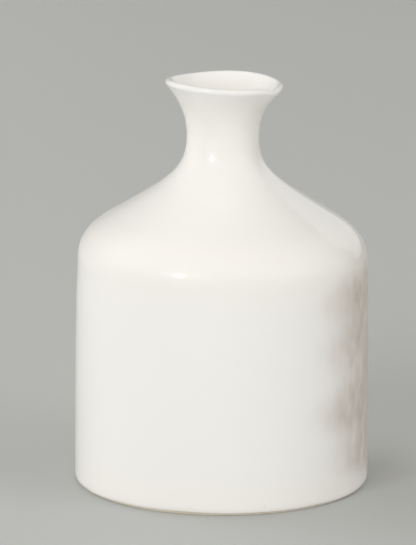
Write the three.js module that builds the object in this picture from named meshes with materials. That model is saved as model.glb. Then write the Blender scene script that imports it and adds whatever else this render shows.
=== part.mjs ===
// A ceramic bud vase: straight body, sloping shoulder, waisted neck and flared lip.
// Millimetres, +Z up. The origin is the middle of the foot, on the plane that the vase stands on.
//
// The clay is in the sections that a bottle-shaped vase is thrown and joined in, each meeting the next
// on a level seam. One coat of glaze covers the outside and turns over the lip, and another lines the
// inside. Every section is turned about the Z axis from the same outline. The whole is then moved a
// little off true, as a hand-made vase is: its axis sways on the way up and its lip is uneven.
import * as THREE from 'three';

// Overall sizes, over the glaze.
const HEIGHT = 127;
const BODY_DIAMETER = 92.3;
const NECK_DIAMETER = 22.6;
const LIP_DIAMETER = 36.6;

// Thicknesses, glaze included, measured square to the surface.
const BODY_WALL = 4.4;
const NECK_WALL = 3;
const LIP_THICKNESS = 2.2;
const FLOOR_THICKNESS = 5;

// The coats of glaze, and the hairline left between a coat and its clay.
const GLAZE = 0.35;
const GLAZE_GAP = 0.15;

// The foot: a ring turned into the underside, left bare of glaze for its lowest stretch.
const FOOT_RING_WIDTH = 5.5;
const FOOT_RECESS = 3;
const FOOT_EDGE_WIDTH = 1.8;
const FOOT_EDGE_HEIGHT = 2.4;
const BARE_HEIGHT = 0.5;

// How far the lip is off true: its shift along +X, its tilt, and two waves that go twice and three
// times around the rim. The tilt and the waves are counted from one turn around the vase.
const LIP_SHIFT = 0.25;
const LIP_TILT = 0.6;
const LIP_TWIST = 0.33;
const LIP_WAVE = 0.18;
const LIP_TURN = THREE.MathUtils.degToRad(12);

// A pinch in the rim: its turn around the vase, its half width, its drop and its pull outwards.
const PINCH_TURN = THREE.MathUtils.degToRad(-31);
const PINCH_WIDTH = THREE.MathUtils.degToRad(12.7);
const PINCH_DROP = 0.66;
const PINCH_PULL = 0.34;

// How far the axis sways along +X on the way up: shares of the height, and the sway at each.
const SWAY = [
  [0.44, 0], [0.55, 0.19], [0.64, -0.38], [0.71, -0.2], [0.88, -0.12], [0.94, 0],
];

// The angle that the lip flares to, from upright.
const LIP_FLARE = THREE.MathUtils.degToRad(37);

// Facets around every turned piece, and the shortest edge that a level cut may leave.
const FACETS = 48;
const SHORTEST_EDGE = 0.1;

// Heights and radii that follow from the sizes above.
const COAT = GLAZE + GLAZE_GAP;
const BODY_RADIUS = BODY_DIAMETER / 2;
const NECK_RADIUS = NECK_DIAMETER / 2;
const LIP_RADIUS = LIP_DIAMETER / 2;
const WALL_TOP = 0.558 * HEIGHT;
const WAIST = 0.863 * HEIGHT;
const SHOULDER_SEAM = 0.53 * HEIGHT;
const NECK_SEAM = 0.764 * HEIGHT;
const LIP_SEAM = 0.915 * HEIGHT;
const FLOOR_TOP = FOOT_RECESS + FLOOR_THICKNESS;
const CORNER_RADIUS = 0.15 * BODY_RADIUS;

const point = (radius, height) => new THREE.Vector2(radius, height);
const heading = (from, to) => to.clone().sub(from).normalize();
const UP = point(0, 1);

// A cubic curve that leaves one point along a heading and reaches another along a second heading.
// The two pulls are the handles' lengths, as fractions of the straight distance.
function bend(from, leaving, to, arriving, pullOut, pullIn) {
  const span = from.distanceTo(to);
  const first = from.clone().addScaledVector(leaving, pullOut * span);
  const second = to.clone().addScaledVector(arriving, -pullIn * span);
  return new THREE.CubicBezierCurve(from, first, second, to);
}

// Stations along a curve, each a place and the outward direction there. The last is left to the
// curve that follows.
function trace(curve, steps) {
  const stations = [];
  for (let i = 0; i < steps; i += 1) {
    const along = curve.getTangent(i / steps);
    stations.push({ at: curve.getPoint(i / steps), out: point(along.y, -along.x) });
  }
  return stations;
}

// The same stations moved inwards by a depth.
function sink(stations, depth) {
  return stations.map(({ at, out }) => at.clone().addScaledVector(out, -depth));
}

// The glazed outside, from the foot to where the lip's round edge starts. It starts a little below the
// foot's plane, so that the clay one coat inside it crosses that plane.
function outsideStations() {
  const foot = point(BODY_RADIUS - FOOT_EDGE_WIDTH, -2 * COAT);
  const wallFoot = point(BODY_RADIUS, FOOT_EDGE_HEIGHT);
  const wallTop = point(0.985 * BODY_RADIUS, WALL_TOP);
  const slopeFoot = point(0.776 * BODY_RADIUS, 0.664 * HEIGHT);
  const slopeHead = point(0.654 * BODY_RADIUS, 0.691 * HEIGHT);
  const waist = point(NECK_RADIUS, WAIST);
  const flareTop = lipEdgeAt(-LIP_FLARE);
  const slope = heading(slopeFoot, slopeHead);
  const leanIn = heading(point(0, 0), point(-0.026, 1));
  const flare = point(Math.sin(LIP_FLARE), Math.cos(LIP_FLARE));
  return [
    ...trace(bend(foot, point(1, 0), wallFoot, UP, 0.2, 0.48), 3),
    ...trace(bend(wallFoot, UP, wallTop, leanIn, 0.41, 0.32), 4),
    ...trace(bend(wallTop, leanIn, slopeFoot, slope, 0.27, 0.54), 6),
    ...trace(new THREE.LineCurve(slopeFoot, slopeHead), 1),
    ...trace(bend(slopeHead, slope, waist, UP, 0.58, 0.335), 8),
    ...trace(bend(waist, UP, flareTop, flare, 0.5, 0.24), 5),
  ];
}

// A point on the lip's round edge, at an angle up from level in the outline's plane.
function lipEdgeAt(angle) {
  const radius = LIP_THICKNESS / 2;
  const middle = point(LIP_RADIUS - radius, HEIGHT - radius);
  return middle.add(point(radius * Math.cos(angle), radius * Math.sin(angle)));
}

// The half circle that turns the outside over into the inside.
function lipStations() {
  const radius = LIP_THICKNESS / 2;
  const turn = new THREE.EllipseCurve(
    LIP_RADIUS - radius, HEIGHT - radius, radius, radius, -LIP_FLARE, Math.PI - LIP_FLARE,
  );
  return trace(turn, 6);
}

// The wall's thickness at a height: it thins up the shoulder to the waist, and again to the lip.
function wallAt(height) {
  if (height < WAIST) {
    const rise = THREE.MathUtils.smoothstep(height, WALL_TOP, WAIST);
    return THREE.MathUtils.lerp(BODY_WALL, NECK_WALL, rise);
  }
  const rise = THREE.MathUtils.smoothstep(height, WAIST, lipEdgeAt(-LIP_FLARE).y);
  return THREE.MathUtils.lerp(NECK_WALL, LIP_THICKNESS, rise);
}

// The glazed inside, from the lip down to the middle of the floor. It is the outside moved in by the
// wall's thickness, then a round corner and the flat floor.
function insideStations(outside) {
  const floor = FLOOR_TOP + COAT;
  const cornerTop = floor + CORNER_RADIUS;
  const walls = outside
    .filter(({ at }) => at.y > WALL_TOP - 1)
    .reverse()
    .map(({ at, out }) => ({
      at: at.clone().addScaledVector(out, -wallAt(at.y)),
      out: out.clone().negate(),
    }));
  const wallRadius = BODY_RADIUS - BODY_WALL;
  const corner = new THREE.EllipseCurve(
    wallRadius - CORNER_RADIUS, cornerTop, CORNER_RADIUS, CORNER_RADIUS, 0, -Math.PI / 2, true,
  );
  return [...walls, ...trace(corner, 4),
    { at: point(wallRadius - CORNER_RADIUS, floor), out: UP },
    { at: point(0, floor), out: UP }];
}

const outside = outsideStations();
const overLip = lipStations();
const inside = insideStations(outside);

// Both sides of the vase at a depth below the glazed surface, parted at the lip's crest. The rising
// side only climbs and the falling side only drops, so either can be cut at a height.
function sidesAt(depth) {
  const line = [...sink(outside, depth), ...sink(overLip, depth), ...sink(inside, depth)];
  const crest = line.reduce((best, at, i) => (at.y > line[best].y ? i : best), 0);
  return { rising: line.slice(0, crest + 1), falling: line.slice(crest + 1) };
}

// Where a side crosses a height, or nothing if it doesn't reach it.
function crossing(side, height) {
  const i = side.findIndex((at, j) => j > 0 && (height - side[j - 1].y) * (height - at.y) <= 0);
  if (i < 0) {
    return [];
  }
  const share = (height - side[i - 1].y) / (side[i].y - side[i - 1].y);
  return [point(THREE.MathUtils.lerp(side[i - 1].x, side[i].x, share), height)];
}

// The stretch of a side between two heights, cut level at both and in the side's own order. A
// station closer to a cut than the shortest edge is left to the cut.
function between(side, low, high) {
  const bottom = crossing(side, low);
  const top = crossing(side, high);
  const above = bottom.length ? low + SHORTEST_EDGE : -Infinity;
  const below = top.length ? high - SHORTEST_EDGE : Infinity;
  const kept = side.filter(({ y }) => y > above && y < below);
  const climbs = side[0].y < side[side.length - 1].y;
  return climbs ? [...bottom, ...kept, ...top] : [...top, ...kept, ...bottom];
}

// The axis's sway at a height, eased from each height in the table to the next.
function swayAt(height) {
  const i = SWAY.findIndex(([share]) => height < share * HEIGHT);
  if (i < 1) {
    return 0;
  }
  const [[low, from], [high, to]] = [SWAY[i - 1], SWAY[i]];
  return THREE.MathUtils.lerp(
    from, to, THREE.MathUtils.smoothstep(height, low * HEIGHT, high * HEIGHT),
  );
}

// How fully the pinch is felt at a turn around the vase, from 0 to 1.
function pinchAt(turn) {
  return Math.exp(-(((turn - PINCH_TURN) / PINCH_WIDTH) ** 2));
}

// How far the rim is lifted at a turn around the vase.
function lipLift(turn) {
  const on = turn - LIP_TURN;
  const waves = LIP_TWIST * Math.sin(2 * on) - LIP_WAVE * Math.cos(3 * on);
  return waves - LIP_TILT * Math.cos(on) - PINCH_DROP * pinchAt(turn);
}

// Turns a closed outline about the Z axis and moves it off true. The sway is level, and the lip's own
// unevenness starts from nothing at its seam, so every seam stays level.
function turned(name, outline, finish) {
  const geometry = new THREE.LatheGeometry(outline, FACETS);
  geometry.rotateX(Math.PI / 2);
  const places = geometry.getAttribute('position');
  for (let i = 0; i < places.count; i += 1) {
    const x = places.getX(i);
    const y = places.getY(i);
    const z = places.getZ(i);
    const turn = Math.atan2(y, x);
    const ease = THREE.MathUtils.smoothstep(z, LIP_SEAM, HEIGHT);
    const pull = ease * PINCH_PULL * pinchAt(turn);
    places.setXYZ(
      i,
      x + swayAt(z) + ease * LIP_SHIFT + pull * Math.cos(turn),
      y + pull * Math.sin(turn),
      z + ease * lipLift(turn),
    );
  }
  geometry.computeVertexNormals();
  const mesh = new THREE.Mesh(geometry, new THREE.MeshStandardMaterial(finish));
  mesh.name = name;
  return mesh;
}

// Closes an outline by returning to its first point.
const closed = (outline) => [...outline, outline[0].clone()];

const clay = sidesAt(COAT);
const coatBack = sidesAt(GLAZE);
const coatFace = sidesAt(0);

const bareClay = { color: 0xd8cbb6, roughness: 0.85, metalness: 0 };
const whiteGlaze = { color: 0xefece4, roughness: 0.16, metalness: 0 };
const liningGlaze = { color: 0xe4e0dc, roughness: 0.22, metalness: 0 };

// A band of the clay wall between two seams. The lowest takes in the round corner over the floor, but
// not the floor's middle.
function wallBand(name, low, high) {
  const outline = [...between(clay.rising, low, high), ...between(clay.falling, low, high)];
  return turned(name, closed(outline.filter(({ x }) => x > 0)), bareClay);
}

// The ring that the vase stands on, under the floor's edge.
function footRing() {
  const outer = between(clay.rising, 0, FOOT_RECESS);
  const innerRadius = outer[0].x - FOOT_RING_WIDTH;
  const outline = [...outer, point(innerRadius, FOOT_RECESS), point(innerRadius, 0)];
  return turned('foot_ring', closed(outline), bareClay);
}

// The disc that closes the bottom, raised off the table by the foot ring.
function baseFloor() {
  const rim = between(clay.rising, FOOT_RECESS, FLOOR_TOP);
  const outline = [point(0, FOOT_RECESS), ...rim, point(0, FLOOR_TOP)];
  return turned('base_floor', outline, bareClay);
}

// The coat over the outside. It stops short of the foot, and turns over the lip to end inside it.
function outerGlaze() {
  const face = [
    ...between(coatFace.rising, BARE_HEIGHT, HEIGHT),
    ...between(coatFace.falling, LIP_SEAM, HEIGHT),
  ];
  const back = [
    ...between(coatBack.rising, BARE_HEIGHT, HEIGHT),
    ...between(coatBack.falling, LIP_SEAM, HEIGHT),
  ];
  return turned('outer_glaze', closed([...face, ...back.reverse()]), whiteGlaze);
}

// The coat that lines the inside, from the lip's seam down over the floor.
function innerGlaze() {
  const face = between(coatFace.falling, 0, LIP_SEAM);
  const back = between(coatBack.falling, 0, LIP_SEAM);
  return turned('inner_glaze', [...back.reverse(), ...face], liningGlaze);
}

const vase = new THREE.Group();
vase.add(
  footRing(),
  baseFloor(),
  wallBand('body_wall', FLOOR_TOP, SHOULDER_SEAM),
  wallBand('shoulder', SHOULDER_SEAM, NECK_SEAM),
  wallBand('neck', NECK_SEAM, LIP_SEAM),
  wallBand('lip', LIP_SEAM, HEIGHT),
  outerGlaze(),
  innerGlaze(),
);

export default vase;
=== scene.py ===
"""A ceramic bud vase: a fired clay body under two coats of glaze, on a pale studio floor.

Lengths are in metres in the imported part's own frame. +Z is up, the origin is the middle of the foot and
the front of the vase faces -Y. The vase's outline is worked out once, as places and outward headings in
the plane of radius and height, and every piece is a stretch of that outline turned about the Z axis.
"""

import logging
from dataclasses import dataclass, field
from enum import Enum
from math import radians

import bpy
import numpy as np
from bpy.types import Material, Node, NodeSocket, NodeTree, Object
from mathutils import Matrix, Vector


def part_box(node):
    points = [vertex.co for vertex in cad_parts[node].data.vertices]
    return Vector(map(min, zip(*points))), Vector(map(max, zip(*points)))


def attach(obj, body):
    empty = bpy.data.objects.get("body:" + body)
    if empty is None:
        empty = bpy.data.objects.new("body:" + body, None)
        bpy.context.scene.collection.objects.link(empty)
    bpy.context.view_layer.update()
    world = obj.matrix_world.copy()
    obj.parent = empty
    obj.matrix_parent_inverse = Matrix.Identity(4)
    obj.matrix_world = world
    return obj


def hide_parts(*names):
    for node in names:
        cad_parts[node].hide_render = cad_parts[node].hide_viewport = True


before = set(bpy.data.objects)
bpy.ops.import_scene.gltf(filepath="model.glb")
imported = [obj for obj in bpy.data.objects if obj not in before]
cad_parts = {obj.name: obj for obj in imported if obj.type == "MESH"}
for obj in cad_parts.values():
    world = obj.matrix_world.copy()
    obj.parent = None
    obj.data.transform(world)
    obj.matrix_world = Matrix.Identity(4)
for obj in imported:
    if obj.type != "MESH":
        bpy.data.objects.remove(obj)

LOG = logging.getLogger("bud_vase")
MM = 0.001
BODY = "root"
POOLING = "pooling"
# Attribute holding the share of painted shade down the right side.
SIDE_SHADE = "side_shade"
WALL_RADIUS = 46.0 * MM
SPECK_TINT = (0.62, 0.50, 0.36, 1.0)
GROG_TINT = (0.55, 0.42, 0.30, 1.0)
# Colour of painted shade in small spots: the lip's right outer roll and a dimple on the slope.
SHADE_SPOT_TINT = (0.86, 0.77, 0.62, 1.0)
# Colour of the painted shade that darkens and warms the glaze down the right side.
SIDE_SHADE_TINT = (0.61, 0.54, 0.48, 1.0)
FLOOR_TINT = (0.8, 0.8, 0.8, 1.0)
BOX_COLOUR = (0.98, 0.99, 1.0)

Colour = tuple[float, float, float, float]


class Slot(Enum):
    """The record's material slots."""

    BARE_CLAY = "bare_clay"
    WHITE_GLAZE = "white_glaze"
    LINING_GLAZE = "lining_glaze"


# The outline


def smooth_step(value: np.ndarray | float, low: float, high: float) -> np.ndarray | float:
    """Eases from 0 at low to 1 at high: share squared times three less twice the share.

    Args:
        value: Where to evaluate the ease.
        low: Value at which the ease starts.
        high: Value at which the ease ends. It may be below low, which turns the ease round.

    Returns:
        The eased share, of the same shape as value.
    """
    share = np.clip((value - low) / (high - low), 0.0, 1.0)
    return share * share * (3.0 - 2.0 * share)


def unit(vector: np.ndarray) -> np.ndarray:
    """Returns vectors scaled to length one along their last axis."""
    return vector / np.linalg.norm(vector, axis=-1, keepdims=True)


@dataclass(frozen=True)
class Line:
    """A run of places in the plane of radius and height.

    Attributes:
        at: Radius and height of each place, one row each.
        out: Unit heading out of the clay at each place, one row each.
    """

    at: np.ndarray
    out: np.ndarray

    @staticmethod
    def facing(radius: np.ndarray, height: np.ndarray | float, out: tuple[float, float]) -> "Line":
        """Returns the line through some radii and heights that all face one way."""
        at = np.stack([radius, np.broadcast_to(height, radius.shape)], axis=1)
        return Line(at, np.tile(out, (len(radius), 1)))

    def __add__(self, other: "Line") -> "Line":
        """Returns this line followed by another."""
        return Line(np.vstack([self.at, other.at]), np.vstack([self.out, other.out]))

    def __getitem__(self, rows: slice) -> "Line":
        """Returns the rows of a slice as a line."""
        return Line(self.at[rows], self.out[rows])

    def sunk(self, depth: float | np.ndarray) -> "Line":
        """Returns the line moved into the clay: each place less its depth times its heading."""
        return Line(self.at - np.reshape(depth, (-1, 1)) * self.out, self.out)

    def cut(self, low: float, high: float) -> "Line":
        """Cuts a line that only climbs or only drops at two heights.

        Args:
            low: Height of the lower cut. A line that ends above it keeps its own end.
            high: Height of the upper cut. A line that ends below it keeps its own end.

        Returns:
            The stretch between the cuts in its own order, with each cut's place interpolated along it.
        """
        climbs = self.at[-1, 1] > self.at[0, 1]
        step = 1 if climbs else -1
        table = np.hstack([self.at, self.out])[::step]
        height = table[:, 1]
        near = 0.02 * MM
        cuts_low, cuts_high = height[0] < low - near, height[-1] > high + near
        kept = np.ones(len(height), dtype=bool)
        parts = []
        if cuts_low:
            kept &= height > low + near
            parts.append([np.interp(low, height, column) for column in table.T])
        if cuts_high:
            kept &= height < high - near
        parts.extend(table[kept])
        if cuts_high:
            parts.append([np.interp(high, height, column) for column in table.T])
        rows = np.array(parts)[::step]
        return Line(rows[:, :2], unit(rows[:, 2:]))


@dataclass(frozen=True)
class Bend:
    """A cubic curve that leaves one point along a heading and reaches another along a second.

    Attributes:
        start: Radius and height of the first point.
        leaving: Heading at the first point.
        end: Radius and height of the last point.
        arriving: Heading at the last point.
        pull_out: First handle's length, as a share of the straight distance.
        pull_in: Second handle's length, as a share of the straight distance.
    """

    start: np.ndarray
    leaving: np.ndarray
    end: np.ndarray
    arriving: np.ndarray
    pull_out: float = 1 / 3
    pull_in: float = 1 / 3

    def traced(self, steps: int) -> Line:
        """Samples the curve, leaving its last point to whatever follows.

        The place at t is (1-t)^3 a + 3 (1-t)^2 t b + 3 (1-t) t^2 c + t^3 d, with b and c the handles'
        ends, and the heading out of the clay is the curve's slope turned a quarter turn clockwise.

        Args:
            steps: Number of places.

        Returns:
            The line through the places.
        """
        span = np.linalg.norm(self.end - self.start)
        b = self.start + self.pull_out * span * unit(self.leaving)
        c = self.end - self.pull_in * span * unit(self.arriving)
        t = np.arange(steps)[:, None] / steps
        u = 1.0 - t
        at = u**3 * self.start + 3 * u**2 * t * b + 3 * u * t**2 * c + t**3 * self.end
        slope = u**2 * (b - self.start) + 2 * u * t * (c - b) + t**2 * (self.end - c)
        slope = unit(slope)
        return Line(at, np.stack([slope[:, 1], -slope[:, 0]], axis=1))


def arc(centre: np.ndarray, radius: float, start: float, end: float, steps: int, out: float) -> Line:
    """Samples a circular arc, leaving its last point to whatever follows.

    The place at an angle is the centre plus the radius times its cosine and sine.

    Args:
        centre: Radius and height of the arc's centre.
        radius: The arc's own radius.
        start: Angle of the first place, in radians.
        end: Angle at which the arc stops.
        steps: Number of places.
        out: 1 where the clay is inside the arc, -1 where it is outside.

    Returns:
        The line through the places.
    """
    angle = start + (end - start) * np.arange(steps) / steps
    spoke = np.stack([np.cos(angle), np.sin(angle)], axis=1)
    return Line(centre + radius * spoke, out * spoke)


@dataclass(frozen=True)
class VaseOutline:
    """The vase's sizes and the outline that follows from them.

    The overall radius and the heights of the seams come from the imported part. The rest are the maker's
    sizes: thicknesses with the glaze on, and the places that the outline is drawn through.
    """

    height: float = 127.0 * MM
    body_radius: float = 46.15 * MM
    neck_radius: float = 11.3 * MM
    lip_radius: float = 18.3 * MM
    body_wall: float = 4.4 * MM
    neck_wall: float = 3.0 * MM
    lip_thickness: float = 2.2 * MM
    glaze: float = 0.35 * MM
    coat: float = 0.5 * MM
    foot_edge_width: float = 1.8 * MM
    foot_edge_height: float = 2.4 * MM
    bare_height: float = 0.5 * MM
    recess: float = 3.0 * MM
    floor_top: float = 8.0 * MM
    shoulder_seam: float = 67.31 * MM
    neck_seam: float = 97.03 * MM
    lip_seam: float = 116.2 * MM
    flare: float = radians(37.0)

    @staticmethod
    def of_part() -> "VaseOutline":
        """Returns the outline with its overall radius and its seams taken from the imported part."""
        return VaseOutline(
            body_radius=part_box("outer_glaze")[1][1],
            recess=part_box("foot_ring")[1][2],
            floor_top=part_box("base_floor")[1][2],
            shoulder_seam=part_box("body_wall")[1][2],
            neck_seam=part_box("neck")[0][2],
            lip_seam=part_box("neck")[1][2],
        )

    @property
    def wall_top(self) -> float:
        """Height at which the wall starts to turn in."""
        return 0.558 * self.height

    @property
    def waist(self) -> float:
        """Height of the neck's narrowest point."""
        return 0.863 * self.height

    @property
    def lip_centre(self) -> np.ndarray:
        """Middle of the lip's round edge."""
        half = self.lip_thickness / 2
        return np.array([self.lip_radius - half, self.height - half])

    @property
    def flare_top(self) -> np.ndarray:
        """Where the flare runs into the lip's round edge."""
        turn = np.array([np.cos(self.flare), -np.sin(self.flare)])
        return self.lip_centre + self.lip_thickness / 2 * turn

    def wall_at(self, height: np.ndarray) -> np.ndarray:
        """Returns the wall's thickness: it eases from body to neck, and from neck to lip."""
        to_neck = smooth_step(height, self.wall_top, self.waist)
        to_lip = smooth_step(height, self.waist, self.flare_top[1])
        below = self.body_wall + (self.neck_wall - self.body_wall) * to_neck
        return below + (self.lip_thickness - self.neck_wall) * to_lip

    def outside(self, detail: float) -> Line:
        """Draws the glazed outside from just below the foot's plane up to the lip's round edge.

        The last two numbers of a bend are how far it is pulled along its first and last heading.

        Args:
            detail: Share of the full number of places.

        Returns:
            The rising line.
        """
        up = np.array([0.0, 1.0])
        lean_in = unit(np.array([-0.026, 1.0]))
        flare = np.array([np.sin(self.flare), np.cos(self.flare)])
        r, h = self.body_radius, self.height
        foot = np.array([r - self.foot_edge_width, -2 * self.coat])
        wall_foot = np.array([r, self.foot_edge_height])
        wall_top = np.array([0.985 * r, self.wall_top])
        slope_foot = np.array([0.776 * r, 0.664 * h])
        slope_head = np.array([0.654 * r, 0.691 * h])
        waist = np.array([self.neck_radius, self.waist])
        slope = slope_head - slope_foot

        def steps(full: int) -> int:
            """Returns a number of places thinned to the detail."""
            return max(2, round(full * detail))

        return (
            Bend(foot, np.array([1.0, 0.0]), wall_foot, up, 0.2, 0.48).traced(steps(14))
            + Bend(wall_foot, up, wall_top, lean_in, 0.41, 0.32).traced(steps(58))
            + Bend(wall_top, lean_in, slope_foot, slope, 0.27, 0.54).traced(steps(26))
            + Bend(slope_foot, slope, slope_head, slope).traced(steps(6))
            + Bend(slope_head, slope, waist, up, 0.58, 0.335).traced(steps(36))
            + Bend(waist, up, self.flare_top, flare, 0.5, 0.24).traced(steps(26))
        )

    def round_edge(self, detail: float) -> Line:
        """Draws the half circle that turns the outside over the lip into the inside."""
        steps = max(6, round(22 * detail))
        half = self.lip_thickness / 2
        return arc(self.lip_centre, half, -self.flare, np.pi - self.flare, steps, 1.0)

    def inside(self, detail: float) -> Line:
        """Draws the glazed inside from the lip down to the toe of the floor's round corner.

        It is the outside moved in by the wall's thickness, then a straight wall and a round corner.

        Args:
            detail: Share of the full number of places.

        Returns:
            The falling line.
        """
        outer = self.outside(detail)
        outer = outer[outer.at[:, 1] > self.wall_top - MM][::-1]
        upper = outer.sunk(self.wall_at(outer.at[:, 1]))
        upper = Line(upper.at, -upper.out)
        floor = self.floor_top + self.coat
        corner = 0.15 * self.body_radius
        centre = np.array([self.body_radius - self.body_wall - corner, floor + corner])
        foot_of_wall = centre + np.array([corner, 0.0])
        last = upper.at[-1]
        share = np.arange(1, max(3, round(44 * detail)))[:, None] / max(3, round(44 * detail))
        straight = Line(last + share * (foot_of_wall - last), np.repeat(upper.out[-1:], len(share), 0))
        turn = arc(centre, corner, 0.0, -np.pi / 2, max(5, round(14 * detail)), -1.0)
        toe = Line.facing(centre[:1], floor, (0.0, 1.0))
        return upper + straight + turn + toe

    def floor(self, detail: float) -> Line:
        """Draws the glazed floor from the round corner's toe to the axis, without the toe itself."""
        radius = 0.85 * self.body_radius - self.body_wall
        steps = max(3, round(40 * detail))
        reach = radius * (1.0 - np.arange(1, steps + 1) / steps)
        return Line.facing(reach, self.floor_top + self.coat, (0.0, 1.0))

    def sides(self, detail: float) -> tuple[Line, Line]:
        """Draws the glazed surface in two, parted at the lip's crest.

        Args:
            detail: Share of the full number of places.

        Returns:
            The rising line up the outside and the falling line down the inside, ending at the toe.
        """
        whole = self.outside(detail) + self.round_edge(detail) + self.inside(detail)
        crest = int(np.argmax(whole.at[:, 1]))
        return whole[: crest + 1], whole[crest + 1 :]


@dataclass(frozen=True)
class OffTrue:
    """How a hand-made vase stands off true: its axis sways on the way up and its lip is uneven.

    Attributes:
        height: The vase's height.
        seam: Height at which the lip's unevenness starts.
        sway: Shares of the height, and how far the axis stands towards +X at each.
        shift: How far the rim stands towards +X.
        tilt: How far it drops on one side.
        twist: Height of its wave that goes twice round.
        wave: Height of its wave that goes three times round.
        turn: Turn from which the tilt and the waves are counted, in radians.
        pinch_turn: Turn at which the rim is pinched.
        pinch_width: The pinch's half width, in radians.
        pinch_drop: How far the pinch drops.
        pinch_pull: How far it stands out.
    """

    height: float
    seam: float
    sway: tuple[tuple[float, float], ...] = (
        (0.44, 0.0),
        (0.55, 0.19 * MM),
        (0.64, -0.38 * MM),
        (0.71, -0.2 * MM),
        (0.88, -0.12 * MM),
        (0.94, 0.0),
    )
    shift: float = 0.25 * MM
    tilt: float = 0.6 * MM
    twist: float = 0.33 * MM
    wave: float = 0.18 * MM
    turn: float = radians(12.0)
    pinch_turn: float = radians(-31.0)
    pinch_width: float = radians(12.7)
    pinch_drop: float = 0.66 * MM
    pinch_pull: float = 0.34 * MM

    def swayed(self, height: np.ndarray) -> np.ndarray:
        """Adds up the table's steps, each eased from its own height to the next."""
        shares, shifts = np.array(self.sway).T
        total = np.full_like(height, shifts[0])
        for low, high, step in zip(shares[:-1], shares[1:], np.diff(shifts)):
            total += step * smooth_step(height, low * self.height, high * self.height)
        return total

    def applied(self, grid: np.ndarray) -> np.ndarray:
        """Moves a grid of places off true.

        With t the turn less the lip's own, the lift is twist sin 2t - wave cos 3t - tilt cos t, less
        the pinch's drop times exp of minus the squared distance from the pinch over its width.

        Args:
            grid: Places of a turned surface, with x, y and z along the last axis.

        Returns:
            The moved places.
        """
        turn = np.arctan2(grid[..., 1], grid[..., 0])
        share = smooth_step(grid[..., 2], self.seam, self.height)
        on = turn - self.turn
        pinch = np.exp(-(((turn - self.pinch_turn) / self.pinch_width) ** 2))
        lift = self.twist * np.sin(2 * on) - self.wave * np.cos(3 * on) - self.tilt * np.cos(on)
        lift = lift - self.pinch_drop * pinch
        pull = share * self.pinch_pull * pinch
        across = self.swayed(grid[..., 2]) + share * self.shift + pull * np.cos(turn)
        return grid + np.stack([across, pull * np.sin(turn), share * lift], axis=-1)


# Reliefs: how far a surface lies below its outline, at each turn round the vase and height


@dataclass(frozen=True)
class SideShadePatch:
    """Painted shade: a stretch down the vase's shaded right side where the glaze's colour is darkened and
    warmed, and where the coat carries ripples.

    Attributes:
        low: Height of its lower end.
        middle: Height at which it is widest.
        high: Height of its upper end.
        near: Turn round the vase at its nearer edge's middle, in radians.
        far: Turn at its far end.
        bow: How much wider it is at the middle than one wall radius above or below, in radians.
        soft: Half the width of its nearer edge, in radians.
        wobbles: Height per radian and phase of each sine wave in the nearer edge.
        wobble: How far each of them swings, in radians.
    """

    low: float = 1.0 * MM
    middle: float = 40.0 * MM
    high: float = 82.0 * MM
    near: float = radians(-36.0)
    far: float = radians(64.0)
    bow: float = radians(16.0)
    soft: float = radians(20.0)
    wobbles: tuple[tuple[float, float], ...] = ((5.5 * MM, 0.0), (2.9 * MM, 1.0))
    wobble: float = 0.05

    def __call__(self, turn: np.ndarray, height: np.ndarray) -> np.ndarray:
        """Returns how strongly the painted shade lies, from 0 to 1.

        It is the product of four eases: in over the nearer edge, out towards the far end, and out at
        the lower and upper ends. The nearer edge's turn grows with the square of the height from the
        middle, plus two small sine waves of the height.
        """
        edge = self.near + self.bow * ((height - self.middle) / WALL_RADIUS) ** 2
        for pitch, phase in self.wobbles:
            edge = edge + self.wobble * np.sin(height / pitch + phase)
        across = smooth_step(turn, edge - self.soft, edge + self.soft)
        across = across * smooth_step(turn, self.far, self.far - 3 * self.soft)
        ends = smooth_step(height, self.low, self.low + 11 * MM)
        return across * ends * smooth_step(height, self.high, self.high - 17 * MM)


@dataclass(frozen=True)
class GlazeRelief:
    """The outer coat's surface: broad swells, faint throwing rings and ripples in the patch of painted
    shade.

    Attributes:
        shade_patch: Where painted shade darkens the right side; the ripples lie there too.
        least: Least depth of the whole coat below its outline.
        swell: Depth of the broad swells.
        ring: Depth of the throwing rings.
        ring_pitch: Height of one ring.
        ripple: Height of the ripples in that patch.
    """

    # Patch of painted shade down the right side, which also places the ripples.
    shade_patch: SideShadePatch = SideShadePatch()
    least: float = 0.02 * MM
    swell: float = 0.05 * MM
    ring: float = 0.01 * MM
    ring_pitch: float = 4.2 * MM
    ripple: float = 0.035 * MM

    def ripples(self, turn: np.ndarray, height: np.ndarray) -> np.ndarray:
        """Adds up plane waves, each a cosine of turn and height times its own numbers.

        Args:
            turn: Turn round the vase, in radians.
            height: Height above the foot.

        Returns:
            The sum, which stays between -1 and 1.
        """
        dice = np.random.default_rng(11)
        waves = 12
        total = np.zeros(np.broadcast(turn, height).shape)
        for _ in range(waves):
            across = WALL_RADIUS * 2 * np.pi / dice.uniform(5.0 * MM, 10.0 * MM)
            along = dice.choice([-1.0, 1.0]) * 2 * np.pi / dice.uniform(9.0 * MM, 22.0 * MM)
            total += np.cos(across * turn + along * height + dice.uniform(0.0, 2 * np.pi))
        return np.tanh(total / np.sqrt(waves))

    def __call__(self, turn: np.ndarray, height: np.ndarray) -> np.ndarray:
        """Returns the depth below the outline.

        The depth is swells that go two and three times round, plus rings that climb once a turn, plus
        the ripples times the share of the painted shade patch.
        """
        broad = 2.0 + np.sin(2 * turn + height / (19 * MM)) + np.cos(3 * turn - height / (31 * MM))
        rings = 1.0 + np.cos(2 * np.pi * height / self.ring_pitch + turn)
        rippled = self.ripple * self.shade_patch(turn, height) * (1.0 + self.ripples(turn, height))
        return self.least + self.swell / 4 * broad + self.ring * rings + rippled


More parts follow.
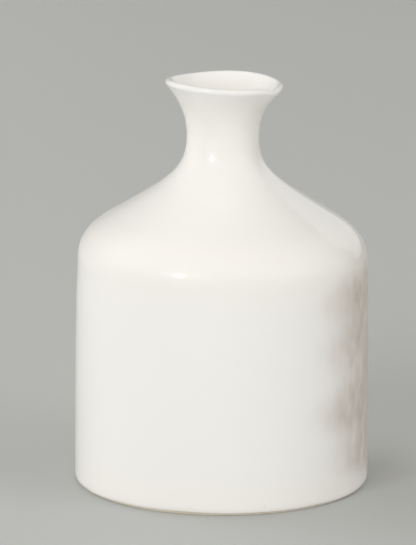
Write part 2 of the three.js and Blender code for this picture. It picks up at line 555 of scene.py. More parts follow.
@dataclass(frozen=True)
class RingRelief:
    """Finger rings left by throwing or a turning tool, climbing once round with each turn.

    Attributes:
        depth: Depth of a ring.
        pitch: Distance from one ring to the next.
    """

    depth: float
    pitch: float

    def __call__(self, turn: np.ndarray, travel: np.ndarray) -> np.ndarray:
        """Returns half the depth times one plus the cosine of travel over pitch plus the turn."""
        return self.depth / 2 * (1.0 + np.cos(2 * np.pi * travel / self.pitch + turn))


# Meshes


def turns(columns: int) -> np.ndarray:
    """Returns equal turns round the vase from -pi, one per column."""
    return -np.pi + 2 * np.pi * np.arange(columns) / columns


def spun(line: Line, columns: int, depth: np.ndarray | None = None) -> np.ndarray:
    """Turns a line about the Z axis: x is radius times cosine, y radius times sine, z the height.

    Args:
        line: The line to turn.
        columns: Number of places round the vase.
        depth: How far each place is sunk along its heading, by row and column, or nothing.

    Returns:
        The places by row and column, with x, y and z along the last axis.
    """
    turn = turns(columns)
    sunk = np.zeros((len(line.at), columns)) if depth is None else depth
    radius = line.at[:, :1] - sunk * line.out[:, :1]
    height = line.at[:, 1:] - sunk * line.out[:, 1:]
    return np.stack([radius * np.cos(turn), radius * np.sin(turn), height], axis=-1)


def travel(line: Line) -> np.ndarray:
    """Returns the distance along a line to each of its places, as a column."""
    steps = np.linalg.norm(np.diff(line.at, axis=0), axis=1)
    return np.concatenate([[0.0], np.cumsum(steps)])[:, None]


def ring_faces(rows: int, columns: int, closed: bool) -> np.ndarray:
    """Lists the quads between neighbouring rows of a turned grid, facing out of the clay.

    Args:
        rows: Number of rows.
        columns: Number of columns, of which the last joins the first.
        closed: Whether the last row joins the first as well.

    Returns:
        Four vertex numbers for each quad.
    """
    i, j = np.meshgrid(np.arange(rows if closed else rows - 1), np.arange(columns), indexing="ij")
    above, beside = (i + 1) % rows, (j + 1) % columns
    quads = [i * columns + j, i * columns + beside, above * columns + beside, above * columns + j]
    return np.stack(quads, axis=-1).reshape(-1, 4)


def new_piece(name: str, places: np.ndarray, faces: list[list[int]],
              sharp: float = 40.0) -> Object:
    """Makes an object from places and faces, smooth but for its sharp edges.

    Args:
        name: The piece's name.
        places: x, y and z of each vertex.
        faces: Vertex numbers of each face.
        sharp: Angle in degrees from which an edge stays sharp.

    Returns:
        The new object, linked to the scene.
    """
    mesh = bpy.data.meshes.new(name)
    mesh.from_pydata(places.tolist(), [], faces)
    mesh.shade_smooth()
    mesh.set_sharp_from_angle(angle=float(np.radians(sharp)))
    mesh.validate()
    piece = bpy.data.objects.new(name, mesh)
    bpy.context.scene.collection.objects.link(piece)
    return piece


def closed_piece(name: str, grid: np.ndarray) -> Object:
    """Makes a ring-shaped piece from a grid whose last row joins its first."""
    rows, columns = grid.shape[:2]
    return new_piece(name, grid.reshape(-1, 3), ring_faces(rows, columns, True).tolist())


def capped_piece(name: str, grid: np.ndarray) -> Object:
    """Makes a piece from a grid whose first and last rows both lie on the axis.

    Each of those rows becomes one vertex with a fan of triangles, so the poles are closed.

    Args:
        name: The piece's name.
        grid: Places by row and column.

    Returns:
        The new object.
    """
    rows, columns = grid.shape[:2]
    inner = grid[1:-1].reshape(-1, 3)
    places = np.vstack([inner, grid[0, :1], grid[-1, :1]])
    first, last = len(inner), len(inner) + 1
    j = np.arange(columns)
    beside = (j + 1) % columns
    top = (rows - 3) * columns
    fans = np.stack([np.full(columns, first), beside, j], axis=1).tolist()
    fans += np.stack([np.full(columns, last), top + j, top + beside], axis=1).tolist()
    return new_piece(name, places, ring_faces(rows - 2, columns, False).tolist() + fans)


def paint(piece: Object, name: str, values: np.ndarray) -> None:
    """Stores one number per vertex of a piece as a named attribute."""
    layer = piece.data.attributes.new(name, "FLOAT", "POINT")
    layer.data.foreach_set("value", np.ascontiguousarray(values, dtype=np.float32).ravel())


def place_in_frame(piece: Object, node: str, finish: Material) -> None:
    """Dresses a piece, lets it ride on the vase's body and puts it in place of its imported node."""
    piece.data.materials.append(finish)
    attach(piece, BODY)
    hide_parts(node)
    LOG.info("%s: %d faces, in place of %s", piece.name, len(piece.data.polygons), node)


# Finishes


def feed(tree: NodeTree, socket: NodeSocket, value: object) -> None:
    """Links an input socket to an output socket, or gives it a fixed value."""
    if isinstance(value, NodeSocket):
        tree.links.new(value, socket)
    else:
        socket.default_value = value


def feed_all(tree: NodeTree, node: Node, **values: object) -> None:
    """Feeds a node's inputs by name, with underscores for spaces."""
    for name, value in values.items():
        feed(tree, node.inputs[name.replace("_", " ")], value)


def add_node(tree: NodeTree, kind: str, **settings: object) -> Node:
    """Adds a node to a tree.

    Args:
        tree: The tree to add to.
        kind: The node's Blender type name.
        settings: Properties by name, and what feeds each input by name with underscores for spaces.

    Returns:
        The new node.
    """
    node = tree.nodes.new(kind)
    for name, value in settings.items():
        if hasattr(node, name):
            setattr(node, name, value)
        else:
            feed_all(tree, node, **{name: value})
    return node


def math_node(tree: NodeTree, operation: str, *values: object) -> NodeSocket:
    """Adds a Math node whose inputs are sockets or numbers, and returns its output."""
    node = add_node(tree, "ShaderNodeMath", operation=operation)
    for socket, value in zip(node.inputs, values):
        feed(tree, socket, value)
    return node.outputs[0]


def blended(tree: NodeTree, mode: str, share: object, first: object,
            second: object) -> NodeSocket:
    """Mixes a second colour over a first.

    Args:
        tree: The tree to add to.
        mode: Blend type, such as MIX or MULTIPLY.
        share: Socket or number for how much of the second colour shows.
        first: Socket or colour underneath.
        second: Socket or colour on top.

    Returns:
        The mixed colour's socket.
    """
    mix = add_node(tree, "ShaderNodeMix", data_type="RGBA", blend_type=mode)
    for place, value in ((0, share), (6, first), (7, second)):
        feed(tree, mix.inputs[place], value)
    return mix.outputs[2]


class EffectGroup:
    """A shader node group being built, with its named inputs and outputs."""

    def __init__(self, name: str, inputs: dict[str, str], outputs: dict[str, str]) -> None:
        """Makes an empty group.

        Args:
            name: The group's name.
            inputs: Kind of each input, such as Float, by its name.
            outputs: Kind of each output by its name.
        """
        self.tree = bpy.data.node_groups.new(name, "ShaderNodeTree")
        for way, sockets in (("INPUT", inputs), ("OUTPUT", outputs)):
            for label, kind in sockets.items():
                self.tree.interface.new_socket(label, in_out=way, socket_type=f"NodeSocket{kind}")
        self.inputs = self.tree.nodes.new("NodeGroupInput").outputs
        self.end = self.tree.nodes.new("NodeGroupOutput")


def pooled_tone_group() -> NodeTree:
    """Builds the glaze's tone: a mix from thin to thick by the coat's pooling plus a soft cloud."""
    group = EffectGroup(
        "pooled_tone",
        {"Vector": "Vector", "Pooling": "Float", "Thin": "Color", "Thick": "Color", "Clouding": "Float"},
        {"Color": "Color", "Share": "Float"},
    )
    tree, given = group.tree, group.inputs
    cloud = add_node(tree, "ShaderNodeTexNoise", Vector=given["Vector"], Scale=32.0, Detail=3.0,
                     Roughness=0.55)
    centred = math_node(tree, "SUBTRACT", cloud.outputs["Fac"], 0.5)
    clouded = math_node(tree, "MULTIPLY", centred, given["Clouding"])
    total = math_node(tree, "ADD", given["Pooling"], clouded)
    share = add_node(tree, "ShaderNodeMapRange", interpolation_type="SMOOTHSTEP", Value=total)
    share = share.outputs["Result"]
    mixed = blended(tree, "MIX", share, given["Thin"], given["Thick"])
    feed_all(tree, group.end, Color=mixed, Share=share)
    return tree


def specks_group() -> NodeTree:
    """Builds a mask of scattered specks: round spots in the cells of a Voronoi that draw a low lot."""
    group = EffectGroup(
        "specks",
        {"Vector": "Vector", "Density": "Float", "Amount": "Float", "Size": "Float"},
        {"Mask": "Float"},
    )
    tree, given = group.tree, group.inputs
    cells = add_node(tree, "ShaderNodeTexVoronoi", feature="F1", Vector=given["Vector"],
                     Scale=given["Density"])
    lot = add_node(tree, "ShaderNodeSeparateColor", Color=cells.outputs["Color"])
    drawn = math_node(tree, "LESS_THAN", lot.outputs["Red"], given["Amount"])
    size = math_node(tree, "MULTIPLY", lot.outputs["Green"], given["Size"])
    edge = math_node(tree, "DIVIDE", cells.outputs["Distance"], math_node(tree, "MAXIMUM", size, 0.001))
    spot = add_node(tree, "ShaderNodeMapRange", interpolation_type="SMOOTHSTEP", Value=edge,
                    From_Min=1.0, From_Max=0.4)
    feed_all(tree, group.end, Mask=math_node(tree, "MULTIPLY", spot.outputs["Result"], drawn))
    return tree


def hand_marks_group() -> NodeTree:
    """Builds a height: rings by height that waver with a noise, plus a fine orange-peel noise."""
    group = EffectGroup(
        "hand_marks",
        {"Vector": "Vector", "Rings": "Float", "Ring Height": "Float", "Peel": "Float",
         "Peel Height": "Float"},
        {"Height": "Float"},
    )
    tree, given = group.tree, group.inputs
    parts = add_node(tree, "ShaderNodeSeparateXYZ", Vector=given["Vector"])
    waver = add_node(tree, "ShaderNodeTexNoise", Vector=given["Vector"], Scale=45.0, Detail=2.0)
    climb = math_node(tree, "MULTIPLY", parts.outputs["Z"], given["Rings"])
    phase = math_node(tree, "ADD", climb, math_node(tree, "MULTIPLY", waver.outputs["Fac"], 3.0))
    rings = math_node(tree, "MULTIPLY", math_node(tree, "SINE", phase), given["Ring Height"])
    peel = add_node(tree, "ShaderNodeTexNoise", Vector=given["Vector"], Scale=given["Peel"], Detail=2.0,
                    Roughness=0.5)
    fine = math_node(tree, "MULTIPLY", peel.outputs["Fac"], given["Peel Height"])
    feed_all(tree, group.end, Height=math_node(tree, "ADD", rings, fine))
    return tree


@dataclass(frozen=True)
class Effects:
    """The node groups that more than one finish uses."""

    tone: NodeTree = field(default_factory=pooled_tone_group)
    specks: NodeTree = field(default_factory=specks_group)
    marks: NodeTree = field(default_factory=hand_marks_group)


class FinishDraft:
    """A material being built: its tree, its surface and the Object coordinates."""

    def __init__(self, name: str) -> None:
        """Starts a material of this name."""
        self.material = bpy.data.materials.new(name)
        self.material.use_nodes = True
        self.tree = self.material.node_tree
        self.surface = self.tree.nodes["Principled BSDF"]
        self.places = self.tree.nodes.new("ShaderNodeTexCoord").outputs["Object"]

    def placed(self, group: NodeTree, **values: object) -> Node:
        """Places a node group at the Object coordinates, with what feeds its other inputs."""
        return add_node(self.tree, "ShaderNodeGroup", node_tree=group, Vector=self.places, **values)

    def tinted(self, colour: object, share: object, tint: Colour) -> NodeSocket:
        """Multiplies a colour by a tint, as far as the share goes, and returns the result."""
        return blended(self.tree, "MULTIPLY", share, colour, tint)

    def specked(self, colour: object, specks: Node, strength: float,
                tint: Colour) -> NodeSocket:
        """Tints a colour where the specks' mask is set, and returns the result."""
        share = math_node(self.tree, "MULTIPLY", specks.outputs["Mask"], strength)
        return self.tinted(colour, share, tint)

    def marked(self, marks: Node, strength: float, distance: float) -> None:
        """Raises the hand marks on the surface."""
        bump = add_node(self.tree, "ShaderNodeBump", Strength=strength, Distance=distance,
                        Height=marks.outputs["Height"])
        feed_all(self.tree, self.surface, Normal=bump.outputs["Normal"])


@dataclass(frozen=True)
class ShadeSpot:
    """A small warm dark spot of painted shade on a glaze.

    Attributes:
        middle: Its middle.
        reach: How far it goes.
    """

    middle: tuple[float, float, float]
    reach: float


@dataclass(frozen=True)
class GlazeFinish:
    """A glossy glaze over clay.

    Attributes:
        name: The material's name.
        thin: Colour where the coat is thin.
        thick: Colour where it has pooled.
        clouding: How far the tone drifts from the pooling alone.
        coat: How much of the surface is fire-polished.
        coat_roughness: Roughness of that polish.
        roughness: How far the glassy body spreads light where it has pooled.
        roughened: How much more it spreads where it is thin.
        shade_spots: Small warm spots of painted shade.
        paints_side_shade: Whether painted shade darkens and warms the right side.
    """

    name: str
    thin: Colour
    thick: Colour
    clouding: float
    coat: float
    coat_roughness: float
    roughness: float = 0.28
    roughened: float = 0.06
    # Painted shade: small spots, and a patch down the right side.
    shade_spots: tuple[ShadeSpot, ...] = ()
    paints_side_shade: bool = False

    def material(self, effects: Effects) -> Material:
        """Builds the material: pooled tone, specks, painted shade spots and painted side shade as colour,
        marks as bump.
        """
        draft = FinishDraft(self.name)
        pooling = add_node(draft.tree, "ShaderNodeAttribute", attribute_name=POOLING)
        tone = draft.placed(effects.tone, Pooling=pooling.outputs["Fac"], Thin=self.thin,
                            Thick=self.thick, Clouding=self.clouding)
        specks = draft.placed(effects.specks, Density=230.0, Amount=0.035, Size=0.16)
        colour = draft.specked(tone.outputs["Color"], specks, 0.2, SPECK_TINT)
        # Painted shade in small spots.
        for shade_spot in self.shade_spots:
            colour = self.with_shade_spot(draft, colour, shade_spot)
        # Painted shade: darkens and warms the shaded right side.
        if self.paints_side_shade:
            colour = self.with_side_shade(draft, colour)
        spread = add_node(draft.tree, "ShaderNodeMapRange", Value=tone.outputs["Share"],
                          To_Min=self.roughness + self.roughened, To_Max=self.roughness)
        feed_all(draft.tree, draft.surface, Base_Color=colour, Roughness=spread.outputs["Result"],
                 IOR=1.5, Coat_Weight=self.coat, Coat_Roughness=self.coat_roughness, Coat_IOR=1.5)
        marks = draft.placed(effects.marks, Rings=2300.0, Ring_Height=0.12, Peel=620.0, Peel_Height=0.5)
        draft.marked(marks, 0.35, 0.02 * MM)
        return draft.material

    def with_shade_spot(self, draft: FinishDraft, colour: NodeSocket,
                    shade_spot: ShadeSpot) -> NodeSocket:
        """Paints shade: warms and darkens the tone in a soft patch round a spot's middle, and returns the
        new tone.
        """
        away = add_node(draft.tree, "ShaderNodeVectorMath", operation="DISTANCE")
        for socket, value in zip(away.inputs, (draft.places, shade_spot.middle)):
            feed(draft.tree, socket, value)
        patch = add_node(draft.tree, "ShaderNodeMapRange", interpolation_type="SMOOTHSTEP",
                         Value=away.outputs["Value"], From_Min=shade_spot.reach,
                         From_Max=0.2 * shade_spot.reach, To_Max=0.6)
        return draft.tinted(colour, patch.outputs["Result"], SHADE_SPOT_TINT)

    def with_side_shade(self, draft: FinishDraft, colour: NodeSocket) -> NodeSocket:
        """Paints shade: warms and darkens the tone down the shaded right side, in upright blotches.

        Args:
            draft: The material being built.
            colour: Socket with the colour so far.

        Returns:
            Socket with the blotched colour.
        """
        tree = draft.tree
        # Share of the painted shade down the right side, stored on the coat.
        thin = add_node(tree, "ShaderNodeAttribute", attribute_name=SIDE_SHADE)
        stretch = add_node(tree, "ShaderNodeMapping", Vector=draft.places, Scale=(1.0, 1.0, 0.5))
        blotch = add_node(tree, "ShaderNodeTexNoise", Vector=stretch.outputs["Vector"], Scale=270.0,
                          Detail=2.0, Roughness=0.5)
        swing = math_node(tree, "MULTIPLY_ADD", blotch.outputs["Fac"], 1.2, 0.3)
        share = add_node(tree, "ShaderNodeClamp",
                         Value=math_node(tree, "MULTIPLY", thin.outputs["Fac"], swing))
        return draft.tinted(colour, share.outputs["Result"], SIDE_SHADE_TINT)


@dataclass(frozen=True)
class ClayFinish:
    """Bare fired clay: a warm matte body with grog and fine turning lines.

    Attributes:
        name: The material's name.
        pale: Colour of the body.
        toasted: Colour where the kiln has toasted it.
    """

    name: str
    pale: Colour
    toasted: Colour

    def material(self, effects: Effects) -> Material:
        """Builds the material: a toasted cloud and dark grog as colour, turning lines as bump."""
        draft = FinishDraft(self.name)
        tone = draft.placed(effects.tone, Thin=self.toasted, Thick=self.pale, Clouding=2.2, Pooling=0.6)
        grog = draft.placed(effects.specks, Density=900.0, Amount=0.22, Size=0.35)
        colour = draft.specked(tone.outputs["Color"], grog, 0.5, GROG_TINT)
        feed_all(draft.tree, draft.surface, Base_Color=colour, Roughness=0.86, Specular_IOR_Level=0.3)
        marks = draft.placed(effects.marks, Rings=9000.0, Ring_Height=0.4, Peel=2600.0, Peel_Height=1.0)
        draft.marked(marks, 0.6, 0.06 * MM)
        return draft.material


# Sub-assemblies


@dataclass
class ClayBody:
    """The fired clay: foot ring, floor, wall, shoulder, neck and lip, joined on level seams.

    Attributes:
        outline: The vase's outline.
        ease: How the vase stands off true.
        finish: The clay's material.
        foot_width: Width of the ring that the vase stands on.
        edge: Radius of the ring's worn edges.
        columns: Places round the pieces that show.
        hidden_columns: Places round the pieces under the glaze.
    """

    outline: VaseOutline
    ease: OffTrue
    finish: Material
    foot_width: float = 5.5 * MM
    edge: float = 0.35 * MM
    columns: int = 240
    hidden_columns: int = 120

    def build(self) -> None:
        """Makes and dresses all six pieces, from the foot up."""
        o = self.outline
        self.dress(self.foot_ring(), "foot_ring")
        self.dress(self.floor_disc(), "base_floor")
        self.dress(self.wall_band("clay_wall", o.floor_top, o.shoulder_seam), "body_wall")
        self.dress(self.wall_band("clay_shoulder", o.shoulder_seam, o.neck_seam), "shoulder")
        self.dress(self.wall_band("clay_neck", o.neck_seam, o.lip_seam), "neck")
        self.dress(self.wall_band("clay_lip", o.lip_seam, 2 * o.height), "lip")

    def dress(self, piece: Object, node: str) -> None:
        """Gives a clay piece its finish and its place in the frame."""
        place_in_frame(piece, node, self.finish)

    def clay_sides(self, detail: float) -> tuple[Line, Line]:
        """Returns the rising and falling lines of the clay, one coat under the glazed surface."""
        rising, falling = self.outline.sides(detail)
        return rising.sunk(self.outline.coat), falling.sunk(self.outline.coat)

    def wall_band(self, name: str, low: float, high: float) -> Object:
        """Turns the clay between two seams: up its outside, down its inside and level at both.

        Args:
            name: The piece's name.
            low: Height of the lower seam.
            high: Height of the upper seam.

        Returns:
            The band.
        """
        rising, falling = self.clay_sides(0.6)
        line = rising.cut(low, high) + falling.cut(low, high)
        return closed_piece(name, self.ease.applied(spun(line, self.hidden_columns)))

    def foot_ring(self) -> Object:
        """Turns the foot ring: worn edges, a flat to stand on and a hollow inside wall.

        The inside wall is a shallow cove, half a sine wave deep, and only that cove carries fine
        turning rings.

        Returns:
            The ring.
        """
        cove_steps, flat_steps, edge_steps = 24, 18, 6
        rising, _ = self.clay_sides(1.0)
        outer = rising.cut(self.edge, self.outline.recess)
        rim = outer.at[0, 0]
        inner = rim - self.foot_width
        edge = self.edge
        height = np.linspace(self.outline.recess, edge, cove_steps)
        share = (height - edge) / (self.outline.recess - edge)
        cove = Line.facing(inner - 0.3 * MM * np.sin(np.pi * share), height, (-1.0, 0.0))
        inner_edge = arc(np.array([inner + edge, edge]), edge, -np.pi, -np.pi / 2, edge_steps, 1.0)
        flat = Line.facing(np.linspace(inner + edge, rim - edge, flat_steps), 0.0, (0.0, -1.0))
        outer_edge = arc(np.array([rim - edge, edge]), edge, -np.pi / 2, 0.0, edge_steps, 1.0)[1:]
        line = outer + cove + inner_edge[1:] + flat + outer_edge
        rings = RingRelief(0.04 * MM, 0.55 * MM)(turns(self.columns), travel(line))
        turned = np.zeros(len(line.at))
        turned[len(outer.at) + 1 : len(outer.at) + cove_steps - 2] = 1.0
        grid = spun(line, self.columns, rings * turned[:, None])
        return closed_piece("clay_foot_ring", grid)

    def floor_disc(self) -> Object:
        """Turns the floor: plain above, and below a shallow dish with the turning tool's spiral.

        The underside rises towards the axis by a quarter sine wave, less the spiral's own depth.

        Returns:
            The disc.
        """
        under_steps, top_steps = 70, 15
        o = self.outline
        rising, _ = self.clay_sides(1.0)
        side = rising.cut(o.recess, o.floor_top)
        reach = np.linspace(0.0, side.at[0, 0] - self.foot_width - 0.4 * MM, under_steps)
        end = reach[-1]
        under = Line.facing(reach, o.recess + 0.5 * MM * np.cos(np.pi / 2 * reach / end), (0.0, -1.0))
        top_reach = np.linspace(side.at[-1, 0], 0.0, top_steps + 1)[1:]
        line = under + side + Line.facing(top_reach, o.floor_top, (0.0, 1.0))
        fade = np.zeros(len(line.at))
        fade[:under_steps] = smooth_step(reach, 0.5 * MM, 4 * MM) * smooth_step(reach, end, end - 2 * MM)
        spiral = RingRelief(0.14 * MM, 2.6 * MM)(turns(self.columns), travel(line)) * fade[:, None]
        return capped_piece("clay_floor", spun(line, self.columns, spiral))


@dataclass
class GlazeCoats:
    """The coat over the outside and lip, and the coat that lines the inside.

    Attributes:
        outline: The vase's outline.
        ease: How the vase stands off true.
        outer_finish: The outer coat's material.
        lining_finish: The lining's material.
        relief: The outer coat's surface.
        nose: Height over which the outer coat's lower end rounds off.
        nose_steps: Places down that rounded end.
        line_wave: How far that end wanders up and down round the foot.
        columns: Places round the outer coat.
        lining_columns: Places round the lining.
    """

    outline: VaseOutline
    ease: OffTrue
    outer_finish: Material
    lining_finish: Material
    relief: GlazeRelief = GlazeRelief()
    nose: float = 0.7 * MM
    nose_steps: int = 9
    line_wave: float = 0.1 * MM
    columns: int = 320
    lining_columns: int = 240

    def build(self) -> None:
        """Makes and dresses both coats."""
        place_in_frame(self.outer_coat(), "outer_glaze", self.outer_finish)
        place_in_frame(self.lining(), "inner_glaze", self.lining_finish)

    def rolled_end(self, face: Line) -> Line:
        """Rounds the coat's lower end over from its back to its face.

        With an angle from 0 to a quarter turn, the end's height above the glaze line is the nose's
        height times one less the cosine, and its depth is the coat's times one less the sine.

        Args:
            face: The face above the glaze line, climbing.

        Returns:
            The rounded end, climbing, followed by the rest of the face.
        """
        o = self.outline
        angle = np.linspace(0.0, np.pi / 2, self.nose_steps)
        height = o.bare_height + self.nose * (1.0 - np.cos(angle))
        table = np.hstack([face.at, face.out])
        rows = np.stack([np.interp(height, face.at[:, 1], column) for column in table.T], axis=1)
        end = Line(rows[:, :2], unit(rows[:, 2:])).sunk(0.98 * o.coat * (1.0 - np.sin(angle)))
        return end + face.cut(o.bare_height + self.nose + 0.1 * MM, 2 * o.height)

    def wandering(self, grid: np.ndarray) -> np.ndarray:
        """Lets the glaze line wander: near the foot each place rises by waves that fade out above.

        Args:
            grid: Places of the coat.

        Returns:
            The moved places.
        """
        turn = np.arctan2(grid[..., 1], grid[..., 0])
        low = self.outline.bare_height
        share = smooth_step(grid[..., 2], low + 5 * MM, low)
        wave = np.sin(3 * turn + 0.6) + 0.6 * np.sin(7 * turn + 2.1) + 0.4 * np.sin(13 * turn)
        moved = grid.copy()
        moved[..., 2] += share * self.line_wave * wave
        return moved

    def outer_coat(self) -> Object:
        """Turns the outer coat: rounded end, face, lip and the way down inside, then its back.

        Returns:
            The coat, with its pooling stored on it.
        """
        o = self.outline
        rising, falling = o.sides(1.0)
        face = self.rolled_end(rising.cut(o.bare_height, 2 * o.height))
        face = face + falling.cut(o.lip_seam, 2 * o.height)
        rising, falling = o.sides(0.3)
        back = rising.sunk(o.glaze).cut(o.bare_height, 2 * o.height)
        back = back + falling.sunk(o.glaze).cut(o.lip_seam, 2 * o.height)
        seated = smooth_step(back.at[:, 1], o.bare_height + 2 * MM, o.bare_height)
        seated[len(rising.at) :] = 0.0
        back = back.sunk(0.95 * (o.coat - o.glaze) * seated)[::-1]
        line = face + back[: len(back.at) - 1]
        turn, height = turns(self.columns), line.at[:, 1:]
        depth = self.relief(turn, height)
        depth[len(face.at) :] = 0.0
        depth[: self.nose_steps] *= np.linspace(0.0, 1.0, self.nose_steps)[:, None]
        depth[len(face.at) - 1] = 0.0
        grid = self.wandering(self.ease.applied(spun(line, self.columns, depth)))
        piece = closed_piece("glaze_outer_coat", grid)
        paint(piece, POOLING, np.broadcast_to(self.pooling(turn, height), grid.shape[:2]))
        # Stores the share of painted shade down the right side.
        paint(piece, SIDE_SHADE, self.relief.shade_patch(turn, height))
        return piece

    def pooling(self, turn: np.ndarray, height: np.ndarray) -> np.ndarray:
        """Gives how thickly the coat lies: thin on the neck and above the foot, thick between.

        It is 0.12 plus 0.55 on the body, 0.7 on the lip and up to 0.45 on one side of the slope.

        Args:
            turn: Turn round the vase, in radians.
            height: Height above the foot.

        Returns:
            The pooling, from 0 to 1.
        """
        o = self.outline
        body = smooth_step(height, 3 * MM, 16 * MM) * smooth_step(height, o.wall_top + 8 * MM, 50 * MM)
        lip = smooth_step(height, o.lip_seam + 4 * MM, o.height)
        slope = smooth_step(height, o.wall_top + 6 * MM, o.wall_top + 16 * MM)
        slope = slope * smooth_step(height, o.waist, o.neck_seam)
        lean = 0.5 + 0.5 * np.cos(turn + np.radians(80.0))
        return np.clip(0.12 + 0.55 * body + 0.7 * lip + 0.45 * slope * lean, 0.0, 1.0)

    def lining(self) -> Object:
        """Turns the lining: its face from the lip's seam to the axis, and its back out again.

        Its face carries the throwing rings, which fade out at the seam and at the axis.

        Returns:
            The lining, with its pooling stored on it.
        """
        o = self.outline
        face = o.sides(1.0)[1].cut(0.0, o.lip_seam) + o.floor(1.0)
        back = o.sides(0.3)[1].sunk(o.glaze).cut(0.0, o.lip_seam) + o.floor(0.3).sunk(o.glaze)
        line = back[::-1] + face
        way = travel(face)
        fade = smooth_step(way, 0.0, 6 * MM) * smooth_step(way, way[-1, 0], way[-1, 0] - 8 * MM)
        depth = np.zeros((len(line.at), self.lining_columns))
        rings = RingRelief(0.16 * MM, 4.4 * MM)(turns(self.lining_columns), way)
        depth[len(back.at) :] = rings * fade
        grid = self.ease.applied(spun(line, self.lining_columns, depth))
        piece = capped_piece("glaze_lining", grid)
        height = np.concatenate([grid[1:-1, :, 2].ravel(), grid[0, :1, 2], grid[-1, :1, 2]])
        paint(piece, POOLING, 1.0 - 0.7 * smooth_step(height, 9 * MM, 40 * MM))
        return piece


# The studio


def way_to(azimuth: float, elevation: float) -> Vector:
    """Gives a direction from the vase.

    Args:
        azimuth: Degrees to the right of the front.
        elevation: Degrees above level.

    Returns:
        The direction as a unit vector.
    """
    side, up = np.radians(azimuth), np.radians(elevation)
    return Vector((np.sin(side) * np.cos(up), -np.cos(side) * np.cos(up), np.sin(up)))


@dataclass(frozen=True)
class SoftBox:
    """A square soft light that faces the vase.

    Attributes:
        name: The light's name.
        azimuth: Degrees to the right of the front.
        elevation: Degrees above level.
        power: Its power, in watts.
        size: Length of its side.
        distance: How far it is from the vase.
        mirrored: Whether it shows as a highlight on the glaze.
    """

    name: str
    azimuth: float
    elevation: float
    power: float
    size: float = 1.1
    distance: float = 1.8
    mirrored: bool = False

    def build(self) -> None:
        """Hangs the light."""
        way = way_to(self.azimuth, self.elevation)
        light = bpy.data.lights.new(self.name, "AREA")
        light.color = BOX_COLOUR
        light.shape = "SQUARE"
        light.size = self.size
        light.energy = self.power
        lamp = bpy.data.objects.new(self.name, light)
        lamp.location = Vector((0.0, 0.0, 0.07)) + self.distance * way
        lamp.rotation_euler = way.to_track_quat("Z", "Y").to_euler()
        lamp.visible_glossy = self.mirrored
        bpy.context.scene.collection.objects.link(lamp)


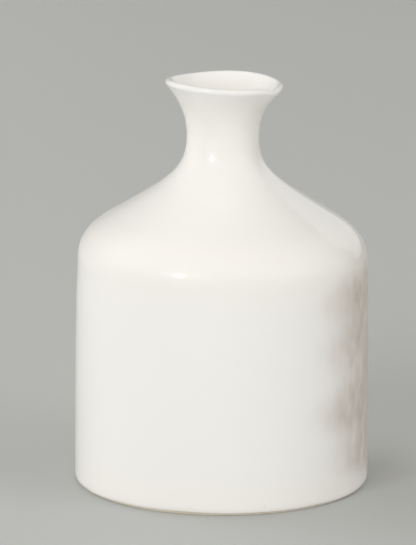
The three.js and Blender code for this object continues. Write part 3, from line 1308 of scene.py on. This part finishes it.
@dataclass
class Studio:
    """A pale floor that sweeps up behind the vase, soft boxes round it, an even sky and the camera.

    Attributes:
        floor_colour: Colour of the sweep.
        sky_colour: Colour of the sky, a little warm against the boxes.
        sky: Strength of the sky.
        boxes: The soft boxes. The small window puts the crisp lights on the glaze.
        aim_height: Height that the camera looks at.
        aim_side: How far to the right of the vase's axis it looks.
        camera_distance: How far it is from where it looks.
        camera_pitch: How far it looks down, in degrees.
        camera_roll: How far it is turned, in degrees.
        camera_lens: Its focal length, in millimetres.
    """

    floor_colour: Colour = (0.50, 0.51, 0.50, 1.0)
    sky_colour: Colour = (1.0, 0.95, 0.87, 1.0)
    sky: float = 0.42
    boxes: tuple[SoftBox, ...] = (
        SoftBox("left_back", -150.0, 20.0, 4.0),
        SoftBox("left_rear", -120.0, 20.0, 4.0),
        SoftBox("left", -90.0, 20.0, 3.0),
        SoftBox("left_front", -60.0, 20.0, 1.0),
        SoftBox("key", -30.0, 20.0, 13.5),
        SoftBox("right", 60.0, 20.0, 11.0),
        SoftBox("right_back", 150.0, 20.0, 2.0, mirrored=True),
        SoftBox("overhead_left", -120.0, 35.0, 5.0),
        SoftBox("overhead_right", 100.0, 60.0, 3.0),
        SoftBox("window", -34.0, 18.5, 1.1, 0.16, 1.1, mirrored=True),
    )
    aim_height: float = 66.0 * MM
    aim_side: float = -4.515 * MM
    camera_distance: float = 1.2834
    camera_pitch: float = 12.604
    camera_roll: float = 0.3
    camera_lens: float = 271.16

    def build(self) -> None:
        """Makes the sweep, the sky, the lights and the camera."""
        self.sweep()
        self.sky_light()
        for box in self.boxes:
            box.build()
        self.camera()

    def sweep(self) -> None:
        """Makes the floor: flat, then curved up through a quarter circle into a wall behind."""
        flat_rows, columns = 12, 9
        bend, reach, width, top = 0.9, 1.6, 5.0, 3.2
        angle = np.linspace(0.0, np.pi / 2, 25)[1:]
        y = np.concatenate([np.linspace(-4.0, reach, flat_rows), reach + bend * np.sin(angle),
                            [reach + bend]])
        z = np.concatenate([np.zeros(flat_rows), bend * (1.0 - np.cos(angle)), [top]])
        x, y = np.meshgrid(np.linspace(-width, width, columns), y)
        grid = np.stack([x, y, np.broadcast_to(z[:, None], x.shape)], axis=-1)
        i, j = np.meshgrid(np.arange(len(z) - 1), np.arange(columns - 1), indexing="ij")
        corner = i * columns + j
        faces = np.stack([corner, corner + 1, corner + columns + 1, corner + columns], axis=-1)
        floor = new_piece("studio_sweep", grid.reshape(-1, 3), faces.reshape(-1, 4).tolist(), 180.0)
        draft = FinishDraft("pale_sweep")
        cloud = add_node(draft.tree, "ShaderNodeTexNoise", Vector=draft.places, Scale=1.4, Detail=2.0)
        faint = math_node(draft.tree, "MULTIPLY", cloud.outputs["Fac"], 0.06)
        feed_all(draft.tree, draft.surface, Base_Color=draft.tinted(self.floor_colour, faint, FLOOR_TINT),
                 Roughness=0.8, Specular_IOR_Level=0.2)
        floor.data.materials.append(draft.material)
        LOG.info("%s: %d faces", floor.name, len(floor.data.polygons))

    def sky_light(self) -> None:
        """Lights the scene evenly from all round."""
        world = bpy.data.worlds.new("even_sky")
        bpy.context.scene.world = world
        world.use_nodes = True
        background = world.node_tree.nodes["Background"]
        background.inputs["Color"].default_value = self.sky_colour
        background.inputs["Strength"].default_value = self.sky

    def camera(self) -> None:
        """Sets the camera in front, a little above, on a long lens and a hair off level."""
        pitch, roll = np.radians(self.camera_pitch), np.radians(self.camera_roll)
        back = Vector((0.0, -np.cos(pitch), np.sin(pitch)))
        data = bpy.data.cameras.new("camera")
        data.lens = self.camera_lens
        data.sensor_width = 36.0
        data.clip_start, data.clip_end = 0.05, 50.0
        eye = bpy.data.objects.new("camera", data)
        turn = back.to_track_quat("Z", "Y").to_matrix().to_4x4()
        place = Vector((self.aim_side, 0.0, self.aim_height)) + self.camera_distance * back
        eye.matrix_world = Matrix.Translation(place) @ turn @ Matrix.Rotation(roll, 4, "Z")
        bpy.context.scene.collection.objects.link(eye)
        bpy.context.scene.camera = eye
        bpy.context.scene.view_settings.view_transform = "Standard"


def main() -> None:
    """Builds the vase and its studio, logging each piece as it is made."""
    logging.basicConfig(level=logging.INFO, format="%(name)s: %(message)s")
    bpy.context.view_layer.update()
    outline = VaseOutline.of_part()
    ease = OffTrue(outline.height, outline.lip_seam)
    effects = Effects()
    clay = ClayFinish("bare_clay", pale=(0.78, 0.72, 0.62, 1.0), toasted=(0.70, 0.61, 0.48, 1.0))
    # Painted shade of a small dimple on the right of the slope.
    dimple_shade = ShadeSpot((27.0 * MM, -20.0 * MM, 83.0 * MM), 2.8 * MM)
    # Painted shade on the lip's right outer roll, which faces away from the light.
    lip_roll_shade = ShadeSpot((19.5 * MM, -4.0 * MM, 124.5 * MM), 5.0 * MM)
    # The white glaze carries painted shade: a patch down the right side and two small spots.
    white = GlazeFinish("white_glaze", thin=(0.88, 0.86, 0.82, 1.0), thick=(0.875, 0.863, 0.845, 1.0),
                        clouding=0.5, coat=0.6, coat_roughness=0.055, shade_spots=(dimple_shade, lip_roll_shade),
                        paints_side_shade=True)
    lining = GlazeFinish("lining_glaze", thin=(0.80, 0.78, 0.75, 1.0), thick=(0.84, 0.83, 0.82, 1.0),
                         clouding=0.9, coat=0.5, coat_roughness=0.09)
    ClayBody(outline, ease, clay.material(effects)).build()
    GlazeCoats(outline, ease, white.material(effects), lining.material(effects)).build()
    Studio().build()


if __name__ == "__main__":
    main()
